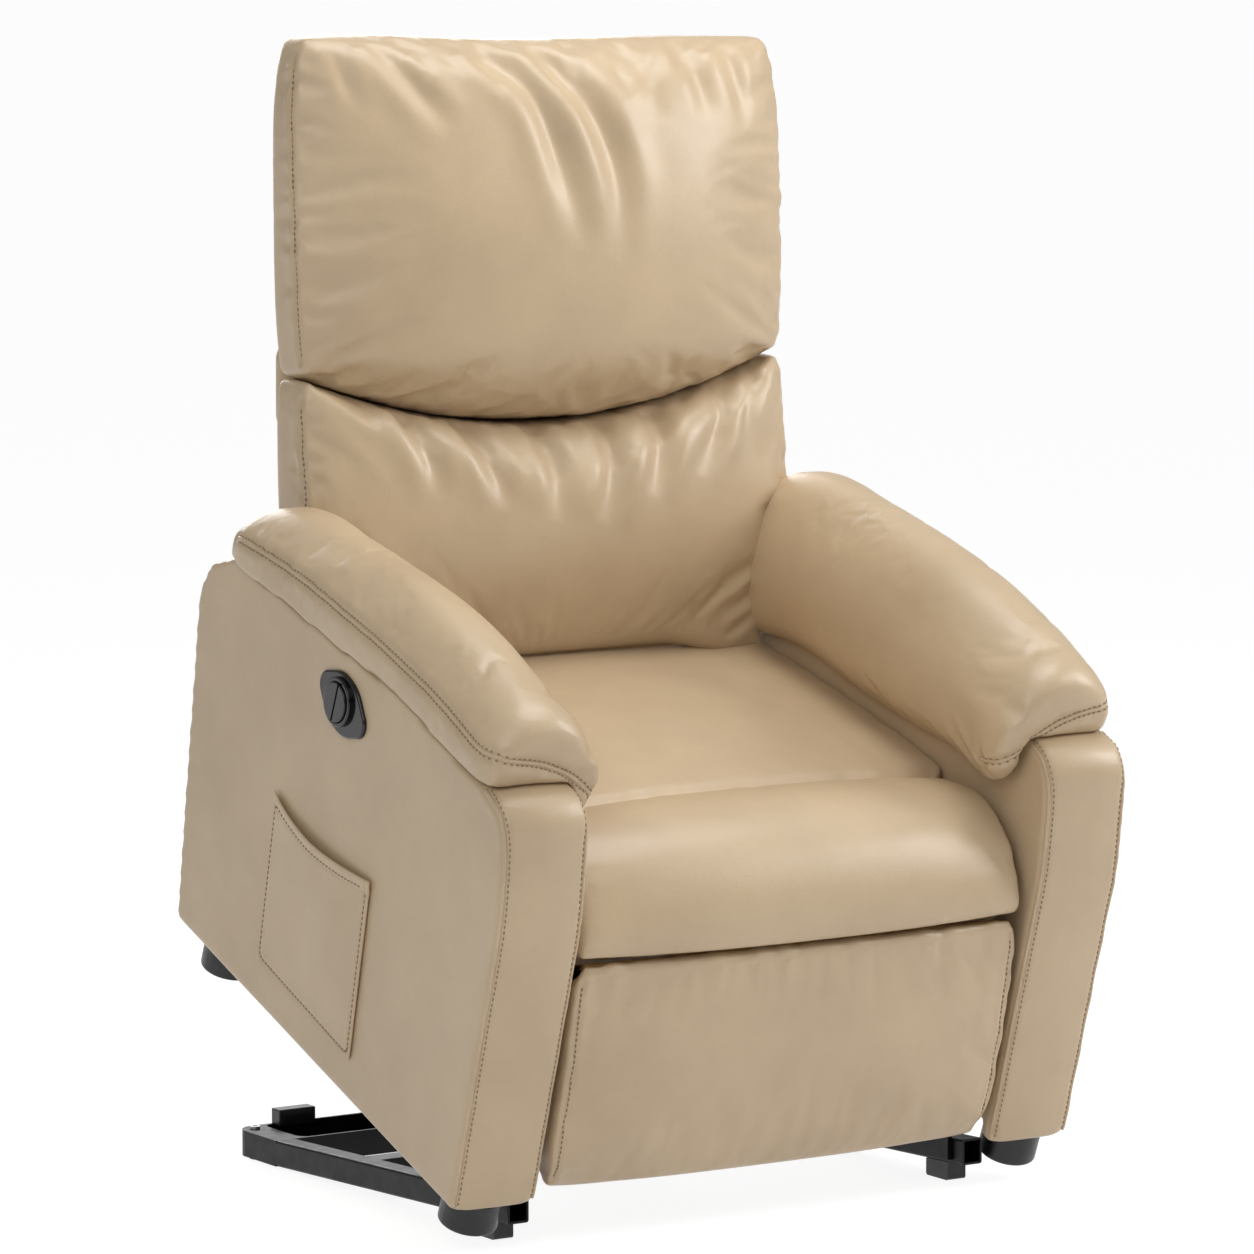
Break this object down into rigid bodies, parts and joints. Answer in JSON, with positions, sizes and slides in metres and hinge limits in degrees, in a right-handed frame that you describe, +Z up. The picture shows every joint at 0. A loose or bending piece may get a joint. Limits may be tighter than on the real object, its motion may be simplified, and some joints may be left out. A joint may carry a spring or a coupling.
{
  "type": "lift recliner chair",
  "caption": "Beige faux-leather lift recliner raised and tilted forward on its black steel lift base, with padded arms, a side pocket and a round hand switch.",
  "frame": {"origin": "on the floor, centre of the footprint's bounding box", "axes": "+Z up, -Y the way the chair faces, +X the sitter's left"},
  "size_m": [0.7788, 0.6954, 1.1946],
  "materials": {
    "upholstery": "faux leather over foam, satin",
    "faux_leather": "satin",
    "black_steel": "black powder coat, satin",
    "zinc_steel": "zinc plated, satin",
    "black_plastic": "moulded, satin",
    "switch_gloss": "gloss",
    "aluminium_tube": "anodised",
    "timber": "raw board",
    "rear_cloth": "black woven cloth on a board"
  },
  "bodies": {
    "base": {"base_rail_left": "black_steel", "base_rail_right": "black_steel", "base_tray": "black_steel", "tray_screws": "zinc_steel", "base_feet": "black_plastic", "base_cross_tube": "black_steel", "base_stop_blocks": "black_plastic", "base_brackets": "black_steel", "base_pivot_pins": "zinc_steel"},
    "front_link": {"lift_front_links": "black_steel"},
    "lift_arm": {"lift_arm_left": "black_steel", "lift_arm_right": "black_steel", "lift_torque_tube": "black_steel", "lift_crank": "black_steel"},
    "motor_housing": {"motor_gearbox": "black_plastic", "motor_can": "black_steel", "actuator_tube": "aluminium_tube"},
    "motor_rod": {"actuator_push_rod": "zinc_steel"},
    "seat_unit": {"side_plate_left": "black_steel", "side_plate_right": "black_steel", "seat_cross_rails": "timber", "seat_side_rails": "timber", "seat_springs": "zinc_steel", "spring_clips": "black_plastic", "seat_cushion": "upholstery", "lower_rear_panel": "rear_cloth", "control_box": "black_plastic", "power_inlet": "black_plastic", "arm_mount_bolts": "zinc_steel", "seat_pivot_pins": "zinc_steel", "arm_front_band_left": "upholstery", "arm_front_band_right": "upholstery", "arm_inner_panel_left": "upholstery", "arm_inner_panel_right": "upholstery", "arm_outer_panel_left": "upholstery", "arm_outer_panel_right": "upholstery", "arm_core_left": "upholstery", "arm_core_right": "upholstery", "arm_pad_left": "upholstery", "arm_pad_right": "upholstery", "arm_feet": "black_plastic", "side_pocket": "faux_leather", "switch_body": "black_plastic", "switch_plate": "switch_gloss", "switch_ring": "switch_gloss"},
    "button_raise": {"switch_button_raise": "switch_gloss"},
    "button_lower": {"switch_button_lower": "switch_gloss"},
    "footrest_lower_link": {"footrest_lower_links": "black_steel", "footrest_elbow_pins": "zinc_steel"},
    "footrest_upper_link": {"footrest_upper_links": "black_steel"},
    "footrest": {"footrest_board": "timber", "footrest_brackets": "black_steel", "footrest_panel_pins": "zinc_steel", "footrest_pad": "upholstery"},
    "back": {"headrest_cushion": "upholstery", "lumbar_cushion": "upholstery", "back_board": "timber", "back_rear_cover": "upholstery", "back_hinge_brackets": "black_steel"}
  },
  "joints": [
    {"name": "lift", "type": "hinge", "parent": "base", "child": "front_link", "pos_m": [0, -0.175, 0.084], "axis": [1, 0, 0], "range_deg": [-41.75, 0]},
    {"name": "chair_tilt", "type": "hinge", "parent": "front_link", "child": "seat_unit", "pos_m": [0, -0.09328, 0.16363], "axis": [1, 0, 0], "range_deg": [0, 20.45]},
    {"name": "rear_arm", "type": "hinge", "parent": "base", "child": "lift_arm", "pos_m": [0, -0.138, 0.093], "axis": [1, 0, 0], "range_deg": [-31.06, 0]},
    {"name": "motor_swing", "type": "hinge", "parent": "base", "child": "motor_housing", "pos_m": [0, 0.289, 0.055], "axis": [1, 0, 0], "range_deg": [0, 3.06]},
    {"name": "rod_slide", "type": "slide", "parent": "motor_housing", "child": "motor_rod", "axis": [0, -0.9461, 0.324], "range_m": [-0.0516, 0]},
    {"name": "recline", "type": "hinge", "parent": "seat_unit", "child": "back", "pos_m": [0, 0.244, 0.49614], "axis": [-1, 0, 0], "range_deg": [0, 35]},
    {"name": "footrest_lower", "type": "hinge", "parent": "seat_unit", "child": "footrest_lower_link", "pos_m": [0, -0.19877, 0.26706], "axis": [-1, 0, 0], "range_deg": [0, 96.3]},
    {"name": "footrest_upper", "type": "hinge", "parent": "footrest_lower_link", "child": "footrest_upper_link", "pos_m": [0, -0.12997, 0.13405], "axis": [1, 0, 0], "range_deg": [0, 115.4]},
    {"name": "footrest_panel", "type": "hinge", "parent": "footrest_upper_link", "child": "footrest", "pos_m": [0, -0.25, 0.21989], "axis": [-1, 0, 0], "range_deg": [0, 104.4]},
    {"name": "press_raise", "type": "slide", "parent": "seat_unit", "child": "button_raise", "axis": [1, 0, 0], "range_m": [0, 0.0015], "stiffness_N_per_m": 300, "springref_m": -0.001},
    {"name": "press_lower", "type": "slide", "parent": "seat_unit", "child": "button_lower", "axis": [1, 0, 0], "range_m": [0, 0.0015], "stiffness_N_per_m": 300, "springref_m": -0.001}
  ],
  "couplings": [
    {"joint": "chair_tilt", "follows": "lift", "ratio": -0.48262},
    {"joint": "rear_arm", "follows": "lift", "ratio": 0.73682},
    {"joint": "motor_swing", "follows": "lift", "ratio": -0.06606},
    {"joint": "rod_slide", "follows": "lift", "m_per_rad": 0.07001},
    {"joint": "footrest_lower", "follows": "recline", "ratio": 2.7429},
    {"joint": "footrest_upper", "follows": "recline", "ratio": 3.2886},
    {"joint": "footrest_panel", "follows": "recline", "ratio": 2.9743}
  ]
}
